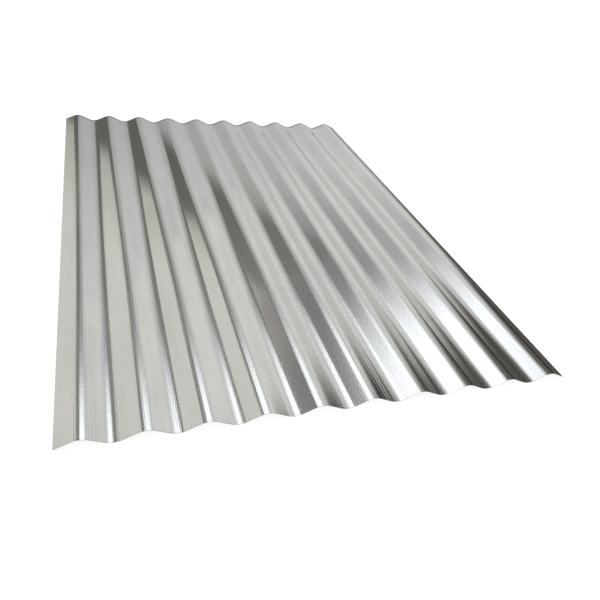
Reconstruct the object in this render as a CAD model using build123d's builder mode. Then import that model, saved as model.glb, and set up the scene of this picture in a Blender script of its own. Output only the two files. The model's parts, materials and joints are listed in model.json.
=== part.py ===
"""Corrugated galvanised steel sheet, one piece of roll-formed stock.

The section is an arc-and-tangent wave: every crest and valley is a round bend,
and a straight flank runs from each bend to the next. The steel keeps one
thickness all along the wave, which runs the whole length of the sheet along Y.
Both long edges end partway down a flank, so that the next sheet can lap there.

Frame: X across the waves, Y along them, +Z up. The origin is the middle of the
sheet's outline, on the plane that the undersides of the valleys touch.
"""

import os
from math import atan2, sqrt, tan

from build123d import *

# Driving dimensions, in millimetres
pitch = 67.733  # crest to crest, 2 2/3 in
crest_count = 10
wave_depth = 11.8  # underside of a valley to the top of a crest
steel_thickness = 0.5  # with its zinc
bend_radius = 22.0  # of crests and valleys, to the middle of the steel
shortest_flank = 1.0  # straight run that the rolls leave between two bends, at least
left_lip = 25.4  # first crest to the left edge, 1 in measured across the sheet
right_lip = 25.4  # last crest to the right edge
sheet_length = 914.4  # 36 in

# The outline that the waves and lips give
sheet_width = left_lip + (crest_count - 1) * pitch + right_lip
first_crest_x = left_lip - sheet_width / 2

# One wave, along the middle of the steel
half_pitch = pitch / 2
rise = wave_depth - steel_thickness
largest_bend = (half_pitch**2 + rise**2 - shortest_flank**2) / (4 * rise)
bend = min(bend_radius, largest_bend)
flank = sqrt(half_pitch**2 + rise**2 - 4 * rise * bend)
flank_angle = atan2(half_pitch, 2 * bend - rise) - atan2(flank, 2 * bend)


def unrounded_corners():
    """Where neighbouring flanks would meet if no bend rounded them, from past one edge to past the other."""
    corner_height = half_pitch / 2 * tan(flank_angle)
    spare_waves = 1 + int(max(left_lip, right_lip) / pitch)
    first, last = -2 * spare_waves, 2 * (crest_count - 1 + spare_waves)
    return [
        (
            first_crest_x + half_wave * half_pitch,
            wave_depth / 2 + (corner_height if half_wave % 2 == 0 else -corner_height),
        )
        for half_wave in range(first, last + 1)
    ]


with BuildPart() as corrugated_sheet:
    with BuildSketch(Plane.XZ) as wave_section:
        with BuildLine() as middle_of_steel:
            FilletPolyline(*unrounded_corners(), radius=bend)
            offset(
                amount=steel_thickness / 2,
                side=Side.BOTH,
                kind=Kind.INTERSECTION,
                mode=Mode.REPLACE,
            )
        make_face()
        with Locations((0, wave_depth / 2)):
            Rectangle(sheet_width, 2 * wave_depth, mode=Mode.INTERSECT)
    extrude(amount=sheet_length / 2, both=True)

corrugated_sheet.part.label = "corrugated_sheet"

os.makedirs("parts", exist_ok=True)
export_step(corrugated_sheet.part, "parts/corrugated_sheet.step")
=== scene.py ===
"""Corrugated galvanised steel sheet, lying flat on a pale studio floor.

The sheet is rolled anew by Geometry Nodes from the frame's own sizes: an
arc-and-tangent wave of one steel thickness, with the faint lines that the rolls
leave along it. Its zinc is nearly a mirror, so its look comes from the studio
round it, painted on five cards that only the zinc sees: a grey sweep behind, a
cream wall to the left, a dark gap between them, a large soft light overhead and
a dark opening to the right. The zinc also sees the floor darken beside that
opening.

Lengths and places are in metres, in the frame's own axes.
"""

import json
from math import radians

import bpy
from bpy.props import FloatProperty, FloatVectorProperty, IntProperty, PointerProperty
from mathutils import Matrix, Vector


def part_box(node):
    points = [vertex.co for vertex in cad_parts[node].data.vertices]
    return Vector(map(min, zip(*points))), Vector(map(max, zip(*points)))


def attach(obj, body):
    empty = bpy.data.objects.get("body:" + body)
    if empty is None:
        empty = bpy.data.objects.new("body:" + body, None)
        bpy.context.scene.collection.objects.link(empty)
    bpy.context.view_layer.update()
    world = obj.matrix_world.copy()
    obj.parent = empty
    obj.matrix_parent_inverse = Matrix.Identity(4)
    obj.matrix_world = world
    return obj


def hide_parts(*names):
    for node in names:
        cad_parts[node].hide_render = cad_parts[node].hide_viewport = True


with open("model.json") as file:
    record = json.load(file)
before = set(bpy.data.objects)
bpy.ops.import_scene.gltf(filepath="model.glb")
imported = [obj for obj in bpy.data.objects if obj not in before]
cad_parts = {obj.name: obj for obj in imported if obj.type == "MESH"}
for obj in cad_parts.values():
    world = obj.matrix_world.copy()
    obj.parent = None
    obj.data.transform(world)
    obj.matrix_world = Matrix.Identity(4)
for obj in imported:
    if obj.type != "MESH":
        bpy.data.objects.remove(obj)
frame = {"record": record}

bl_info = {
    "name": "Corrugated galvanised sheet",
    "version": (1, 0, 0),
    "blender": (4, 5, 0),
    "location": "3D View > Sidebar > Sheet",
    "description": "Rolls a corrugated galvanised steel sheet and lays it on a studio floor",
    "category": "Add Mesh",
}

SHEET_NODE = "corrugated_sheet"
STEEL_SLOT = "galvanised_steel"
CUT_EDGE = "cut_edge"  # attribute of the mesh, 1 on the faces left by the shear
SENSOR_WIDTH = 36.0  # of the camera, in millimetres

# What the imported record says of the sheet
record = frame["record"]
cad_low, cad_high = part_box(SHEET_NODE)
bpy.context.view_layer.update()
mount_places = {mount["name"]: mount["pos_m"] for mount in record["mounts"]}
first_crest_top = mount_places["left_side_lap"]
last_crest_underside = mount_places["right_side_lap"]
crest_count = sum(one["name"].startswith("flute") for one in record["physics"]["openings"])


def length_property(name, description, default, **more):
    return FloatProperty(name=name, description=description, default=default, unit="LENGTH", **more)


def colour_property(name, description, default):
    return FloatVectorProperty(
        name=name, description=description, default=default, subtype="COLOR", size=3
    )


def share_property(name, description, default):
    return FloatProperty(name=name, description=description, default=default, subtype="FACTOR")


def setting_names(settings):
    """Names of the properties that a group of settings adds to Blender's own."""
    return [name for name in settings.bl_rna.properties.keys() if name not in ("rna_type", "name")]


class SheetSizes(bpy.types.PropertyGroup):
    """The wave and the outline, taken from the frame, and the lines left by the rolls."""

    pitch: length_property(
        "Pitch",
        "From one crest to the next",
        (last_crest_underside[0] - first_crest_top[0]) / (crest_count - 1),
    )
    first_crest: length_property(
        "First crest", "Place of the first crest across the sheet", first_crest_top[0]
    )
    left_edge: length_property("Left edge", "Place of the left edge", cad_low[0])
    right_edge: length_property("Right edge", "Place of the right edge", cad_high[0])
    near_end: length_property("Near end", "Place of the near cut end", cad_low[1])
    far_end: length_property("Far end", "Place of the far cut end", cad_high[1])
    depth: length_property(
        "Depth", "From the underside of a valley to the top of a crest", cad_high[2] - cad_low[2]
    )
    steel: length_property(
        "Steel",
        "Thickness of the steel with its zinc",
        first_crest_top[2] - last_crest_underside[2],
    )
    bend_radius: length_property(
        "Bend radius", "Of crests and valleys, to the middle of the steel", 0.022
    )
    wave_steps: IntProperty(name="Steps per wave", description="Faces across one wave", default=160)
    rows: IntProperty(name="Rows", description="Faces along the sheet", default=24)
    roll_line_spacing: length_property(
        "Roll line spacing", "Usual distance from one roll line to the next", 0.0017, precision=4
    )
    roll_line_height: length_property(
        "Roll line height", "How far the roll lines stand proud", 0.00018, precision=5
    )


class SheetFinish(bpy.types.PropertyGroup):
    """The zinc, the bare cut edges and the painted shade along the far end."""

    zinc: colour_property("Zinc", "Colour of the galvanised faces", (0.74, 0.74, 0.735))
    dull_zinc: colour_property(
        "Dull zinc", "Colour of the zinc where it has dulled a little", (0.69, 0.69, 0.68)
    )
    cut_steel: colour_property(
        "Cut steel", "Colour of the bare edge that the shear left", (0.2, 0.2, 0.195)
    )
    smoothest: share_property("Smoothest", "Lowest roughness of the zinc", 0.02)
    roughest: share_property("Roughest", "Highest roughness of the zinc", 0.06)
    cut_roughness: share_property("Cut roughness", "Roughness of the cut edge", 0.45)
    grain_size: length_property("Grain size", "Size of the zinc's fine grain", 0.002, precision=4)
    grain_height: length_property(
        "Grain height", "Height of the zinc's fine grain", 0.000025, precision=6
    )
    grain_contrast: share_property(
        "Grain contrast", "How far one grain is brighter or duller than the next", 0.12
    )
    middle_contrast: FloatProperty(
        name="Middle contrast",
        description="How much more contrast the grain has on the waves right of the middle",
        default=1.2,
    )
    # A dark band of painted shade along the far cut end, in the cut edge's colour and roughness
    far_end_shade_width: length_property(
        "Far end shade", "Width of the painted shade along the far end", 0.008, precision=4
    )
    far_end_shade_strength: share_property(
        "Far end shade strength", "How far that painted shade takes the colour of the cut edge", 0.75
    )
    streak_width: length_property(
        "Streak width", "Width of the finest lines that the rolls drew", 0.0006, precision=4
    )
    streak_height: length_property(
        "Streak height", "Height of the finest lines that the rolls drew", 0.000002, precision=6
    )
    bent_relief: FloatProperty(
        name="Bent relief",
        description="How much more relief the zinc has on the bends, where 1 doubles it",
        default=1.0,
    )


class Stage(bpy.types.PropertyGroup):
    """Camera, floor and plain light."""

    camera_place: FloatVectorProperty(
        name="Camera place",
        description="Where the photograph was taken from",
        default=(-0.27783, -0.85325, 0.50360),
        subtype="TRANSLATION",
        size=3,
    )
    camera_turn: FloatVectorProperty(
        name="Camera turn",
        description="Which way the camera looks",
        default=(radians(56.24), radians(-8.571), radians(-17.229)),
        subtype="EULER",
        size=3,
    )
    frame_pixels: IntProperty(
        name="Frame", description="Side of the photograph's frame in pixels", default=600
    )
    focal_pixels: FloatProperty(
        name="Focal length", description="In pixels of the photograph's frame", default=555.53
    )
    centre_pixel: FloatVectorProperty(
        name="Optical centre",
        description="Pixel of the photograph's frame that the lens points at",
        default=(289.05, 262.79),
        size=2,
    )
    floor_side: length_property("Floor side", "Side of the square floor", 12.0)
    floor_drop: length_property(
        "Floor drop", "How far the floor lies under the valleys", 0.0001, precision=5
    )
    floor_paper: colour_property(
        "Floor paper", "Colour of the paper that the sheet lies on", (0.82, 0.82, 0.81)
    )
    floor_whiteness: share_property(
        "Floor whiteness", "How far the camera sees the paper as plain white", 0.7
    )
    floor_white: FloatProperty(
        name="Floor white", description="Strength of that white, where 1 is white", default=1.18
    )
    room_white: colour_property(
        "Room white", "Plain light, which is also what the camera sees past the floor", (1.0, 1.0, 1.0)
    )
    room_grey: colour_property(
        "Room grey", "What the zinc mirrors where it sees no card", (0.6, 0.6, 0.59)
    )
    mirrored_paper: colour_property(
        "Mirrored paper", "Tone of the paper as the zinc mirrors it", (0.66, 0.67, 0.665)
    )
    unlit_floor: colour_property(
        "Unlit floor", "What the zinc mirrors of the floor to its right", (0.1, 0.097, 0.09)
    )


class Surroundings(bpy.types.PropertyGroup):
    """The cards of the studio round the sheet, and their tones."""

    back_card: length_property("Back card", "Place of the card behind the sheet, on Y", 1.17)
    top_card: length_property("Top card", "Height of the card over the sheet", 1.13)
    right_card: length_property("Right card", "Place of the card to the right, on X", 0.59)
    left_card: length_property("Left card", "Place of the card to the left, on X", -1.8)
    front_card: length_property("Front card", "Place of the card behind the camera, on Y", -1.7)
    left_sweep: colour_property(
        "Left sweep", "Grey sweep next to the dark gap", (0.488, 0.482, 0.453)
    )
    right_sweep: colour_property("Right sweep", "Grey sweep on the right", (0.777, 0.775, 0.753))
    foot_shade: colour_property(
        "Foot shade", "What the sweep's tone is multiplied by at its foot", (0.742, 0.767, 0.804)
    )
    low_gap: colour_property("Low gap", "Foot of the dark gap", (0.145, 0.147, 0.133))
    high_gap: colour_property("High gap", "Top of the dark gap", (0.251, 0.253, 0.229))
    near_cream: colour_property(
        "Near cream", "Cream wall next to the dark gap", (0.521, 0.511, 0.463)
    )
    far_cream: colour_property("Far cream", "Cream wall further left and up", (0.761, 0.752, 0.707))
    cream_glow: colour_property(
        "Cream glow", "Ceiling next to the cream wall", (0.36, 0.345, 0.32)
    )
    dim_ceiling: colour_property(
        "Dim ceiling", "Ceiling left of the soft light", (0.264, 0.270, 0.256)
    )
    pale_ceiling: colour_property(
        "Pale ceiling", "Ceiling towards the right", (0.629, 0.643, 0.649)
    )
    far_ceiling: colour_property(
        "Far ceiling", "Ceiling right of the soft light", (0.63, 0.64, 0.63)
    )
    dark_ceiling: colour_property(
        "Dark ceiling", "Ceiling between the cream wall and the light", (0.27, 0.276, 0.268)
    )
    soft_light: colour_property("Soft light", "The large light overhead", (1.62, 1.66, 1.72))
    wall_foot: colour_property("Wall foot", "Foot of the wall to the right", (0.61, 0.605, 0.585))
    side_wall: colour_property("Side wall", "Middle of that wall", (0.81, 0.808, 0.785))
    wall_top: colour_property("Wall top", "Top of that wall", (0.7, 0.707, 0.693))
    opening_foot: colour_property(
        "Opening foot", "Floor in the dark opening of that wall", (0.11, 0.106, 0.098)
    )
    low_opening: colour_property("Low opening", "Low in that opening", (0.045, 0.043, 0.039))
    high_opening: colour_property("High opening", "Middle of that opening", (0.15, 0.143, 0.13))
    opening_top: colour_property("Opening top", "Brown top of that opening", (0.23, 0.207, 0.17))
    camera_wall: colour_property("Camera wall", "Wall behind the camera", (0.42, 0.42, 0.41))
    camera_panel: colour_property(
        "Camera panel", "Pale panel behind the camera", (0.78, 0.78, 0.765)
    )


class Value:
    """A number that varies over a surface or a mesh. + - * / < > on it add Math nodes."""

    def __init__(self, tree, socket):
        self.tree = tree
        self.socket = socket

    def __add__(self, other):
        return self.tree.math("ADD", self, other)

    def __radd__(self, other):
        return self.tree.math("ADD", other, self)

    def __sub__(self, other):
        return self.tree.math("SUBTRACT", self, other)

    def __rsub__(self, other):
        return self.tree.math("SUBTRACT", other, self)

    def __mul__(self, other):
        return self.tree.math("MULTIPLY", self, other)

    def __rmul__(self, other):
        return self.tree.math("MULTIPLY", other, self)

    def __truediv__(self, other):
        return self.tree.math("DIVIDE", self, other)

    def __rtruediv__(self, other):
        return self.tree.math("DIVIDE", other, self)

    def __abs__(self):
        return self.tree.math("ABSOLUTE", self)

    def __lt__(self, other):
        return self.tree.math("LESS_THAN", self, other)

    def __gt__(self, other):
        return self.tree.math("GREATER_THAN", self, other)

    def past(self, limit):
        """How far this is past a limit, and 0 before it."""
        return self.tree.math("MAXIMUM", self - limit, 0.0)

    def rise(self, start, end):
        """0 up to start, 1 from end on, and smooth between. The end may be the smaller."""
        return self.tree.node(
            "ShaderNodeMapRange",
            {"interpolation_type": "SMOOTHSTEP"},
            {"Value": self, "From Min": start, "From Max": end},
        )

    def fall(self, edge, blur):
        """1 before the edge, 0 past it, over a blur to each side. Either may be a value."""
        return self.rise(edge + blur, edge - blur)


class Tree:
    """A node tree that is written as expressions."""

    def __init__(self, node_tree):
        self.node_tree = node_tree

    def feed(self, socket, value):
        """Links a socket to a value, or sets it."""
        if isinstance(value, Value):
            self.node_tree.links.new(value.socket, socket)
        else:
            socket.default_value = value

    def add(self, kind, settings=None, sockets=None):
        """Adds a node, applies its settings, then feeds its sockets. Gives its outputs by identifier."""
        node = self.node_tree.nodes.new(kind)
        for name, setting in (settings or {}).items():
            setattr(node, name, setting)
        inputs = {socket.identifier: socket for socket in node.inputs}
        for name, value in (sockets or {}).items():
            self.feed(inputs[name] if name in inputs else node.inputs[name], value)
        return {socket.identifier: Value(self, socket) for socket in node.outputs}

    def node(self, kind, settings=None, sockets=None):
        """Adds a node as add does. Gives its first output that is in use."""
        node_outputs = self.add(kind, settings, sockets).values()
        return next(value for value in node_outputs if value.socket.enabled)

    def math(self, operation, *values):
        return self.node("ShaderNodeMath", {"operation": operation}, dict(enumerate(values)))

    def vector(self, x, y, z):
        return self.node("ShaderNodeCombineXYZ", None, {"X": x, "Y": y, "Z": z})

    def parts(self, vector):
        return self.add("ShaderNodeSeparateXYZ", None, {"Vector": vector}).values()

    def mix(self, factor, first, second, blend_type="MIX"):
        """The first colour where factor is 0, the second where it is 1. Either may be a value."""
        first, second = (one if isinstance(one, Value) else (*one, 1.0) for one in (first, second))
        return self.node(
            "ShaderNodeMix",
            {"data_type": "RGBA", "blend_type": blend_type},
            {"Factor_Float": factor, "A_Color": first, "B_Color": second},
        )

    def multiply(self, first, second):
        """One colour times another."""
        return self.mix(1.0, first, second, "MULTIPLY")

    def noise(self, place, scale, detail):
        return self.node(
            "ShaderNodeTexNoise", None, {"Vector": place, "Scale": scale, "Detail": detail}
        )

    def swing(self, place, scale, reach, detail):
        """Noise that goes either way from 0, at most by the reach."""
        return (self.noise(place, scale, detail) - 0.5) * 2.0 * reach


def empty_tree(owner):
    """The tree of a new material or world, with nothing in it yet."""
    owner.use_nodes = True
    owner.node_tree.nodes.clear()
    return Tree(owner.node_tree)


def make_galvanised_steel(finish, sizes):
    """Zinc that mirrors the studio through a fine grain and the lines of the rolls."""
    material = bpy.data.materials.new(STEEL_SLOT)
    tree = empty_tree(material)
    place = tree.add("ShaderNodeTexCoord")["Object"]
    across, along, up = tree.parts(place)

    # Clouds of duller zinc, drawn out along the sheet, and rounder patches. Scales are per metre
    cloud_scale, cloud_scale_along, patch_scale = 60.0, 9.0, 14.0
    cloud_share = 0.6
    dull_from, dull_to = 0.38, 0.66
    cloud_place = tree.vector(across * cloud_scale, along * cloud_scale_along, up * cloud_scale)
    clouds = tree.noise(cloud_place, 1.0, detail=3.0)
    patches = tree.noise(place, patch_scale, detail=2.0)
    dullness = clouds * cloud_share + patches * (1.0 - cloud_share)
    dullness = dullness.rise(dull_from, dull_to)
    roughness = finish.smoothest + (finish.roughest - finish.smoothest) * dullness
    zinc = tree.mix(dullness, finish.zinc, finish.dull_zinc)

    # The zinc's own grain, and the finest lines of the rolls
    grain_scale = 1.0 / finish.grain_size
    streak_scale_along = 3.0
    streak_place = tree.vector(across / finish.streak_width, along * streak_scale_along, 0.0)
    relief = tree.swing(place, grain_scale, finish.grain_height, detail=3.0)
    relief = relief + tree.swing(streak_place, 1.0, finish.streak_height, detail=2.0)

    # Bending has opened the zinc on the crests and in the valleys
    flat_until, bent_from = 0.16, 0.28
    half_waves = (across - sizes.first_crest) / sizes.pitch * 2.0
    from_crest = tree.math("PINGPONG", half_waves, 1.0)
    bent = abs(from_crest - 0.5).rise(flat_until, bent_from)
    relief = relief * (1.0 + finish.bent_relief * bent)

    # One grain is brighter than the next, most of all right of the middle of the sheet
    middle_left, middle_right = (-0.15, 0.0), (0.26, 0.1)
    middle = finish.middle_contrast * across.rise(*middle_left) * across.rise(*middle_right)
    contrast = finish.grain_contrast * (1.0 + middle)
    tint = 1.0 + tree.swing(place, grain_scale, contrast, detail=1.0)
    zinc = tree.multiply(zinc, tree.vector(tint, tint, tint))

    # The bare cut edge, and a painted shade along the far end, drawn in the cut edge's dark colour and
    # roughness
    painted_shade_start = sizes.far_end - finish.far_end_shade_width
    painted_shade_full = sizes.far_end - finish.far_end_shade_width / 2.0
    cut = tree.add("ShaderNodeAttribute", {"attribute_name": CUT_EDGE})["Fac"]
    # From here cut holds the bare cut edge and the painted shade along the far end
    cut = tree.math("MAXIMUM", cut, along.rise(painted_shade_start, painted_shade_full) * finish.far_end_shade_strength)
    surface = tree.node(
        "ShaderNodeBsdfPrincipled",
        None,
        {
            "Base Color": tree.mix(cut, zinc, finish.cut_steel),
            "Metallic": 1.0,
            "Roughness": roughness + (finish.cut_roughness - roughness) * cut,
            "Normal": tree.node(
                "ShaderNodeBump", None, {"Strength": 1.0, "Distance": 1.0, "Height": relief}
            ),
        },
    )
    tree.add("ShaderNodeOutputMaterial", None, {"Surface": surface})
    return material


def make_floor_paper(stage):
    """Pale paper. The camera sees it nearly white and still with the sheet's shadow on it."""
    material = bpy.data.materials.new("floor_paper")
    tree = empty_tree(material)
    ray = tree.add("ShaderNodeLightPath")
    to_camera = ray["Is Camera Ray"]
    mirrored = tree.math("MAXIMUM", ray["Is Glossy Ray"], ray["Is Transmission Ray"])
    white = tuple(stage.floor_white * level for level in stage.room_white)

    # The zinc sees the floor darken to the right of the sheet, and most of all at its near end
    dark_start, dark_full = cad_high[0] - 0.004, cad_high[0] + 0.01
    far_share = 0.55
    near_part_end, near_part_blur = 0.1, 0.25
    x, y, _ = tree.parts(tree.add("ShaderNodeTexCoord")["Object"])
    near_part = y.fall(near_part_end, near_part_blur)
    unlit = x.rise(dark_start, dark_full) * (far_share + (1.0 - far_share) * near_part)
    mirrored_tone = tree.mix(unlit, stage.mirrored_paper, stage.unlit_floor)
    glow = tree.node(
        "ShaderNodeEmission",
        None,
        {"Color": tree.mix(to_camera, mirrored_tone, white), "Strength": 1.0},
    )
    paper = tree.node("ShaderNodeBsdfDiffuse", None, {"Color": (*stage.floor_paper, 1.0)})
    whiteness = tree.math("MAXIMUM", to_camera * stage.floor_whiteness, mirrored)
    surface = tree.add("ShaderNodeMixShader", None, {0: whiteness, 1: paper, 2: glow})["Shader"]
    tree.add("ShaderNodeOutputMaterial", None, {"Surface": surface})
    return material


def make_room(stage):
    """Plain white light from all round. The zinc mirrors a grey instead where it sees no card."""
    world = bpy.data.worlds.new("room")
    tree = empty_tree(world)
    mirrored = tree.add("ShaderNodeLightPath")["Is Glossy Ray"]
    tone = tree.mix(mirrored, stage.room_white, stage.room_grey)
    background = tree.node("ShaderNodeBackground", None, {"Color": tone, "Strength": 1.0})
    tree.add("ShaderNodeOutputWorld", None, {"Surface": background})
    return world


def ceiling_tone(tree, tones, x):
    """The ceiling without its light, which is paler towards the right."""
    dim_until, pale_from = -0.41, 0.51
    glow_edge, glow_blur = -0.46, 0.08
    tone = tree.mix(x.rise(dim_until, pale_from), tones.dim_ceiling, tones.pale_ceiling)
    return tree.mix(x.fall(glow_edge, glow_blur), tone, tones.cream_glow)


def back_tone(tree, tones, x, y, z):
    """The grey sweep, and left of it the dark gap and the cream wall."""
    left_until, right_from = -0.51, 0.38
    foot_until, clear_from = -0.2, 1.0
    sweep = tree.mix(x.rise(left_until, right_from), tones.left_sweep, tones.right_sweep)
    shade = tree.mix(z.rise(foot_until, clear_from), tones.foot_shade, (1.0, 1.0, 1.0))
    sweep = tree.multiply(sweep, shade)

    # The sweep passes into the ceiling, and higher up towards the right
    sweep_until, ceiling_from, climb = 0.37, 1.09, 0.68
    passed = (z - x.past(0.0) * climb).rise(sweep_until, ceiling_from)
    tone = tree.mix(passed, sweep, ceiling_tone(tree, tones, x))

    # The gap's right side bends over to the right as it rises
    low_until, high_from = 0.2, 1.18
    gap_side, bend_start, bend_growth = -0.311, 0.3, 0.33
    gap_blur, blur_growth = 0.03, 0.015
    bend = z.past(bend_start)
    in_gap = x.fall(bend * bend * bend_growth + gap_side, gap_blur + z * blur_growth)
    tone = tree.mix(in_gap, tone, tree.mix(z.rise(low_until, high_from), tones.low_gap, tones.high_gap))

    # The cream wall leans a little to the right, and away to the left further up
    near_until, far_from, depth_climb = 0.59, 1.1, 0.35
    cream_side, cream_blur, lean = -0.575, 0.04, 0.1
    lean_back_start, lean_back = 0.65, 0.3
    depth = (z * depth_climb - x).rise(near_until, far_from)
    cream = tree.mix(depth, tones.near_cream, tones.far_cream)
    side = z * lean + cream_side - z.past(lean_back_start) * lean_back
    return tree.mix(x.fall(side, cream_blur), tone, cream)


def top_tone(tree, tones, x, y, z):
    """The ceiling and its large soft light."""
    dark_side, dark_side_blur = -0.42, 0.12
    dark_back, dark_back_blur = 0.75, 0.2
    cream_side, cream_blur = -0.7, 0.12
    far_side = (0.27, 0.67)
    tone = ceiling_tone(tree, tones, x)
    dark = x.fall(dark_side, dark_side_blur) * y.fall(dark_back, dark_back_blur)
    tone = tree.mix(dark, tone, tones.dark_ceiling)
    tone = tree.mix(x.fall(cream_side, cream_blur), tone, tones.far_cream)
    tone = tree.mix(x.rise(*far_side), tone, tones.far_ceiling)

    # Each side of the light, from where it begins to where it is full. Two of them slant
    left_side, left_slant = (-0.52, -0.12), 0.1
    right_side, right_slant = (0.5, 0.06), 0.2
    back_side, front_side = (1.02, 0.32), (-1.0, -0.6)
    across_light = (x - y * left_slant).rise(*left_side) * (x - y * right_slant).rise(*right_side)
    along_light = y.rise(*back_side) * y.rise(*front_side)
    return tree.mix(across_light * along_light, tone, tones.soft_light)


def right_tone(tree, tones, x, y, z):
    """The wall to the right and its dark opening beside the sheet."""
    foot_to_middle, middle_to_top = (0.0, 0.32), (0.5, 1.13)
    wall = tree.mix(z.rise(*foot_to_middle), tones.wall_foot, tones.side_wall)
    wall = tree.mix(z.rise(*middle_to_top), wall, tones.wall_top)

    low_to_middle, middle_to_brown = (0.12, 0.3), (0.5, 0.9)
    foot_edge, foot_blur = 0.055, 0.02
    opening = tree.mix(z.rise(*low_to_middle), tones.low_opening, tones.high_opening)
    opening = tree.mix(z.rise(*middle_to_brown), opening, tones.opening_top)
    opening = tree.mix(z.fall(foot_edge, foot_blur), opening, tones.opening_foot)

    # The opening lies beside the near part of the sheet, and reaches further back at its top
    opening_back, opening_blur = 0.07, 0.15
    lean_start, lean = 0.5, 0.35
    in_opening = y.fall(z.past(lean_start) * lean + opening_back, opening_blur)
    return tree.mix(in_opening, wall, opening)


def left_tone(tree, tones, x, y, z):
    """The cream wall, which goes on to the left of the sheet."""
    far_until, near_from = 0.4, -1.2
    return tree.mix(y.rise(far_until, near_from), tones.far_cream, tones.near_cream)


def front_tone(tree, tones, x, y, z):
    """The wall behind the camera and the pale panel on it."""
    left_side, right_side, foot = (-0.75, -0.6), (0.5, 0.35), (0.2, 0.35)
    panel = x.rise(*left_side) * x.rise(*right_side) * z.rise(*foot)
    return tree.mix(panel, tones.camera_wall, tones.camera_panel)


def flat_piece(name, corners, material):
    """A flat object with four corners, added to the scene."""
    mesh = bpy.data.meshes.new(name)
    mesh.from_pydata(corners, [], [(0, 1, 2, 3)])
    mesh.materials.append(material)
    piece = bpy.data.objects.new(name, mesh)
    bpy.context.scene.collection.objects.link(piece)
    return piece


def hang_card(name, corners, tones, tone_of_card):
    """A glowing card that only the zinc sees. Its corners are places in the frame."""
    material = bpy.data.materials.new(name)
    tree = empty_tree(material)
    x, y, z = tree.parts(tree.add("ShaderNodeTexCoord")["Object"])
    tone = tone_of_card(tree, tones, x, y, z)
    glow = tree.node("ShaderNodeEmission", None, {"Color": tone, "Strength": 1.0})
    tree.add("ShaderNodeOutputMaterial", None, {"Surface": glow})
    card = flat_piece(name, corners, material)
    card.visible_camera = False
    card.visible_diffuse = False
    card.visible_transmission = False
    card.visible_shadow = False


def hang_cards(tones, floor_height):
    """The box of cards round the sheet."""
    left, right = tones.left_card, tones.right_card
    front, back = tones.front_card, tones.back_card
    top = tones.top_card

    def upright(first, second):
        """Corners of a wall between two places on the floor."""
        low = [(*place, floor_height) for place in (first, second)]
        high = [(*place, top) for place in (second, first)]
        return low + high

    overhead = [(left, front, top), (right, front, top), (right, back, top), (left, back, top)]
    hang_card("back_card", upright((left, back), (right, back)), tones, back_tone)
    hang_card("right_card", upright((right, back), (right, front)), tones, right_tone)
    hang_card("front_card", upright((right, front), (left, front)), tones, front_tone)
    hang_card("left_card", upright((left, front), (left, back)), tones, left_tone)
    hang_card("top_card", overhead, tones, top_tone)


def lay_floor(stage):
    """The square of paper that the sheet lies on."""
    side = stage.floor_side / 2.0
    corners = [(-side, -side), (side, -side), (side, side), (-side, side)]
    places = [(*corner, -stage.floor_drop) for corner in corners]
    floor = flat_piece("floor", places, make_floor_paper(stage))


def place_camera(stage):
    """The camera that took the photograph."""
    lens = bpy.data.cameras.new("camera")
    lens.sensor_width = SENSOR_WIDTH
    lens.lens = SENSOR_WIDTH * stage.focal_pixels / stage.frame_pixels
    lens.shift_x = 0.5 - stage.centre_pixel[0] / stage.frame_pixels
    lens.shift_y = stage.centre_pixel[1] / stage.frame_pixels - 0.5
    camera = bpy.data.objects.new("camera", lens)
    camera.location = stage.camera_place
    camera.rotation_euler = stage.camera_turn
    bpy.context.scene.collection.objects.link(camera)
    bpy.context.scene.camera = camera


def size_inputs(group, sizes):
    """Gives the group an input for each size. Returns the values and the names by identifier."""
    values = {}
    names = {}
    for name in setting_names(sizes):
        value = getattr(sizes, name)
        kind = "NodeSocketInt" if isinstance(value, int) else "NodeSocketFloat"
        label = sizes.bl_rna.properties[name].name
        socket = group.interface.new_socket(label, in_out="INPUT", socket_type=kind)
        values[socket.identifier] = value
        names[socket.identifier] = name
    return values, names


def flat_strip(tree, size):
    """The steel before it is rolled: a thin box in steps and rows, with its cut edges marked."""
    width = size["right_edge"] - size["left_edge"]
    length = size["far_end"] - size["near_end"]
    steps = width / size["pitch"] * size["wave_steps"]
    box = tree.add(
        "GeometryNodeMeshCube",
        None,
        {
            "Size": tree.vector(width, length, size["steel"]),
            "Vertices X": tree.node("FunctionNodeFloatToInt", None, {"Float": steps + 1.0}),
            "Vertices Y": tree.node("FunctionNodeFloatToInt", None, {"Float": size["rows"] + 1.0}),
            "Vertices Z": 2,
        },
    )["Mesh"]

    # The shear left the faces that look sideways, and their edges stay sharp
    sharp_turn = radians(45.0)
    _, _, upward = tree.parts(tree.node("GeometryNodeInputNormal"))
    marked = tree.node(
        "GeometryNodeStoreNamedAttribute",
        {"data_type": "FLOAT", "domain": "FACE"},
        {"Geometry": box, "Name": CUT_EDGE, "Value": abs(upward) < 0.5},
    )
    smooth = tree.node("GeometryNodeSetShadeSmooth", {"domain": "FACE"}, {"Geometry": marked})
    turn = tree.add("GeometryNodeInputMeshEdgeAngle")["Unsigned Angle"]
    return tree.node(
        "GeometryNodeSetShadeSmooth",
        {"domain": "EDGE"},
        {"Geometry": smooth, "Selection": turn > sharp_turn, "Shade Smooth": False},
    )


def over_centre(tree, radius, distance):
    """Height of a bend over its own centre, at a distance from its middle."""
    return tree.math("SQRT", radius * radius - distance * distance)


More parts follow.
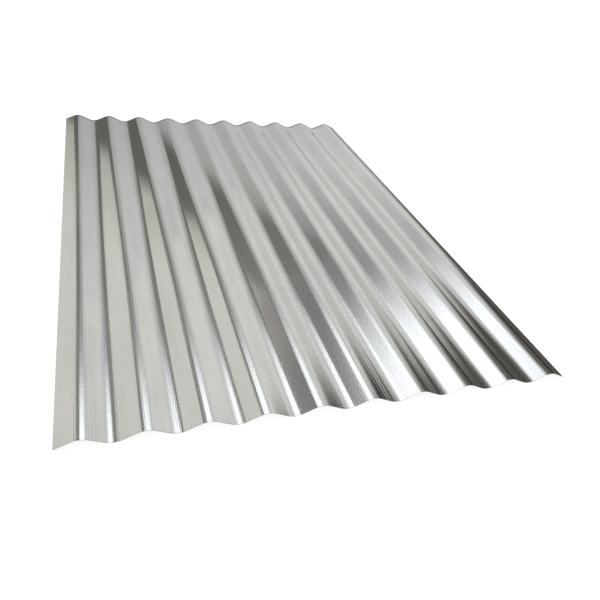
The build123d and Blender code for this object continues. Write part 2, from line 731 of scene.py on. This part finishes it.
def wave_height(tree, size, x, upper):
    """Height of the rolled steel at x: of its upper face where upper is 1, else of its lower face."""
    half_pitch = size["pitch"] / 2.0
    rise = size["depth"] - size["steel"]
    radius = size["bend_radius"]
    flank = tree.math("SQRT", half_pitch * half_pitch + rise * rise - 4.0 * rise * radius)
    slope = tree.math("ARCTAN2", half_pitch, 2.0 * radius - rise)
    slope = slope - tree.math("ARCTAN2", flank, 2.0 * radius)

    # The place within half a wave: on the crest bend, the straight flank or the valley bend
    shift = (upper - 0.5) * size["steel"]
    crest_radius = radius + shift
    valley_radius = radius - shift
    crest_reach = crest_radius * tree.math("SINE", slope)
    valley_reach = valley_radius * tree.math("SINE", slope)
    flank_run = half_pitch - crest_reach - valley_reach
    from_crest = tree.math("PINGPONG", x - size["first_crest"], half_pitch)
    from_valley = half_pitch - from_crest
    on_valley = tree.math("MINIMUM", from_valley, valley_reach)
    on_flank = tree.math("MINIMUM", from_valley.past(valley_reach), flank_run)
    on_crest = tree.math("MINIMUM", from_crest, crest_reach)

    # What each of the three adds to the height
    valley_climb = valley_radius - over_centre(tree, valley_radius, on_valley)
    flank_climb = on_flank * tree.math("TANGENT", slope)
    crest_centre = crest_radius * tree.math("COSINE", slope)
    crest_climb = over_centre(tree, crest_radius, on_crest) - crest_centre
    return upper * size["steel"] + valley_climb + crest_climb + flank_climb


def roll_lines(tree, size, x, y):
    """How far the lines of the rolls stand proud. They are alike from wave to wave.

    They run along the sheet and wander slowly, and the flank that rises to the right
    has almost none.
    """
    wander, change_per_wave = 1.5, 0.4
    fade_in, fade_out, least = (0.02, 0.2), (0.95, 0.8), 0.05

    # A wave is counted from the middle of the rising flank, a quarter wave before its crest
    waves = (x - size["first_crest"]) / size["pitch"] + 0.25
    wave_number = tree.math("FLOOR", waves)
    share = waves - wave_number
    across_wave = share * size["pitch"] / size["roll_line_spacing"]
    place = tree.vector(across_wave, y * wander + wave_number * change_per_wave, 0.0)
    lines = tree.swing(place, 1.0, size["roll_line_height"], detail=2.0)
    return lines * (share.rise(*fade_in) * share.rise(*fade_out) * (1.0 - least) + least)


def sheet_tree(sizes, steel):
    """Geometry nodes that roll the sheet, and the values of their inputs by identifier."""
    group = bpy.data.node_groups.new("Roll corrugated sheet", "GeometryNodeTree")
    group.is_modifier = True
    group.interface.new_socket("Geometry", in_out="OUTPUT", socket_type="NodeSocketGeometry")
    values, names = size_inputs(group, sizes)
    tree = Tree(group)
    inputs = tree.add("NodeGroupInput")
    size = {name: inputs[identifier] for identifier, name in names.items()}

    strip = flat_strip(tree, size)
    x, y, z = tree.parts(tree.node("GeometryNodeInputPosition"))
    x = x + (size["left_edge"] + size["right_edge"]) / 2.0
    y = y + (size["near_end"] + size["far_end"]) / 2.0
    height = wave_height(tree, size, x, z > 0.0) + roll_lines(tree, size, x, y)
    rolled = tree.node(
        "GeometryNodeSetPosition",
        None,
        {"Geometry": strip, "Position": tree.vector(x, y, height)},
    )
    real = tree.node("GeometryNodeRealizeInstances", None, {"Geometry": rolled})
    coated = tree.node("GeometryNodeSetMaterial", None, {"Geometry": real, "Material": steel})
    tree.add("NodeGroupOutput", None, {"Geometry": coated})
    return group, values


def grown_object(name, group, values):
    """An object whose plain mesh is what the geometry nodes make."""
    piece = bpy.data.objects.new(name, bpy.data.meshes.new(name))
    bpy.context.scene.collection.objects.link(piece)
    modifier = piece.modifiers.new("Roll", "NODES")
    modifier.node_group = group
    for identifier, value in values.items():
        modifier[identifier] = value
    evaluated = piece.evaluated_get(bpy.context.evaluated_depsgraph_get())
    mesh = bpy.data.meshes.new_from_object(evaluated)
    mesh.name = name
    piece.modifiers.clear()
    piece.data = mesh
    return piece


class SHEET_OT_set_stage(bpy.types.Operator):
    """Sets the camera, the paper floor, the light and the cards that the zinc mirrors"""

    bl_idname = "sheet.set_stage"
    bl_label = "Set stage"

    def execute(self, context):
        scene = context.scene
        stage = scene.sheet_stage
        scene.view_settings.view_transform = "Standard"
        scene.world = make_room(stage)
        hang_cards(scene.sheet_surroundings, -stage.floor_drop)
        lay_floor(stage)
        place_camera(stage)
        return {"FINISHED"}


class SHEET_OT_roll_sheet(bpy.types.Operator):
    """Rolls the corrugated sheet and gives it its zinc"""

    bl_idname = "sheet.roll_sheet"
    bl_label = "Roll sheet"

    def execute(self, context):
        sizes = context.scene.sheet_sizes
        steel = make_galvanised_steel(context.scene.sheet_finish, sizes)
        group, values = sheet_tree(sizes, steel)
        sheet = grown_object("rolled_sheet", group, values)
        if not sheet.data.polygons:
            raise RuntimeError("the geometry nodes gave no sheet")
        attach(sheet, "root")
        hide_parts(SHEET_NODE)
        return {"FINISHED"}


class SHEET_PT_panel(bpy.types.Panel):
    """Lists the sheet's sizes, its finish and the studio"""

    bl_idname = "SHEET_PT_panel"
    bl_label = "Corrugated sheet"
    bl_space_type = "VIEW_3D"
    bl_region_type = "UI"
    bl_category = "Sheet"

    def draw(self, context):
        scene = context.scene
        for settings, operator in (
            (scene.sheet_stage, SHEET_OT_set_stage),
            (scene.sheet_surroundings, SHEET_OT_set_stage),
            (scene.sheet_sizes, SHEET_OT_roll_sheet),
            (scene.sheet_finish, SHEET_OT_roll_sheet),
        ):
            column = self.layout.column()
            for name in setting_names(settings):
                column.prop(settings, name)
            column.operator(operator.bl_idname)


SETTINGS = {
    "sheet_sizes": SheetSizes,
    "sheet_finish": SheetFinish,
    "sheet_stage": Stage,
    "sheet_surroundings": Surroundings,
}
OPERATORS_AND_PANEL = (SHEET_OT_set_stage, SHEET_OT_roll_sheet, SHEET_PT_panel)


def register():
    for one in (*SETTINGS.values(), *OPERATORS_AND_PANEL):
        bpy.utils.register_class(one)
    for name, group in SETTINGS.items():
        setattr(bpy.types.Scene, name, PointerProperty(type=group))


def unregister():
    for name in SETTINGS:
        delattr(bpy.types.Scene, name)
    for one in reversed((*SETTINGS.values(), *OPERATORS_AND_PANEL)):
        bpy.utils.unregister_class(one)


def main():
    register()
    bpy.ops.sheet.set_stage()
    bpy.ops.sheet.roll_sheet()


if __name__ == "__main__":
    main()
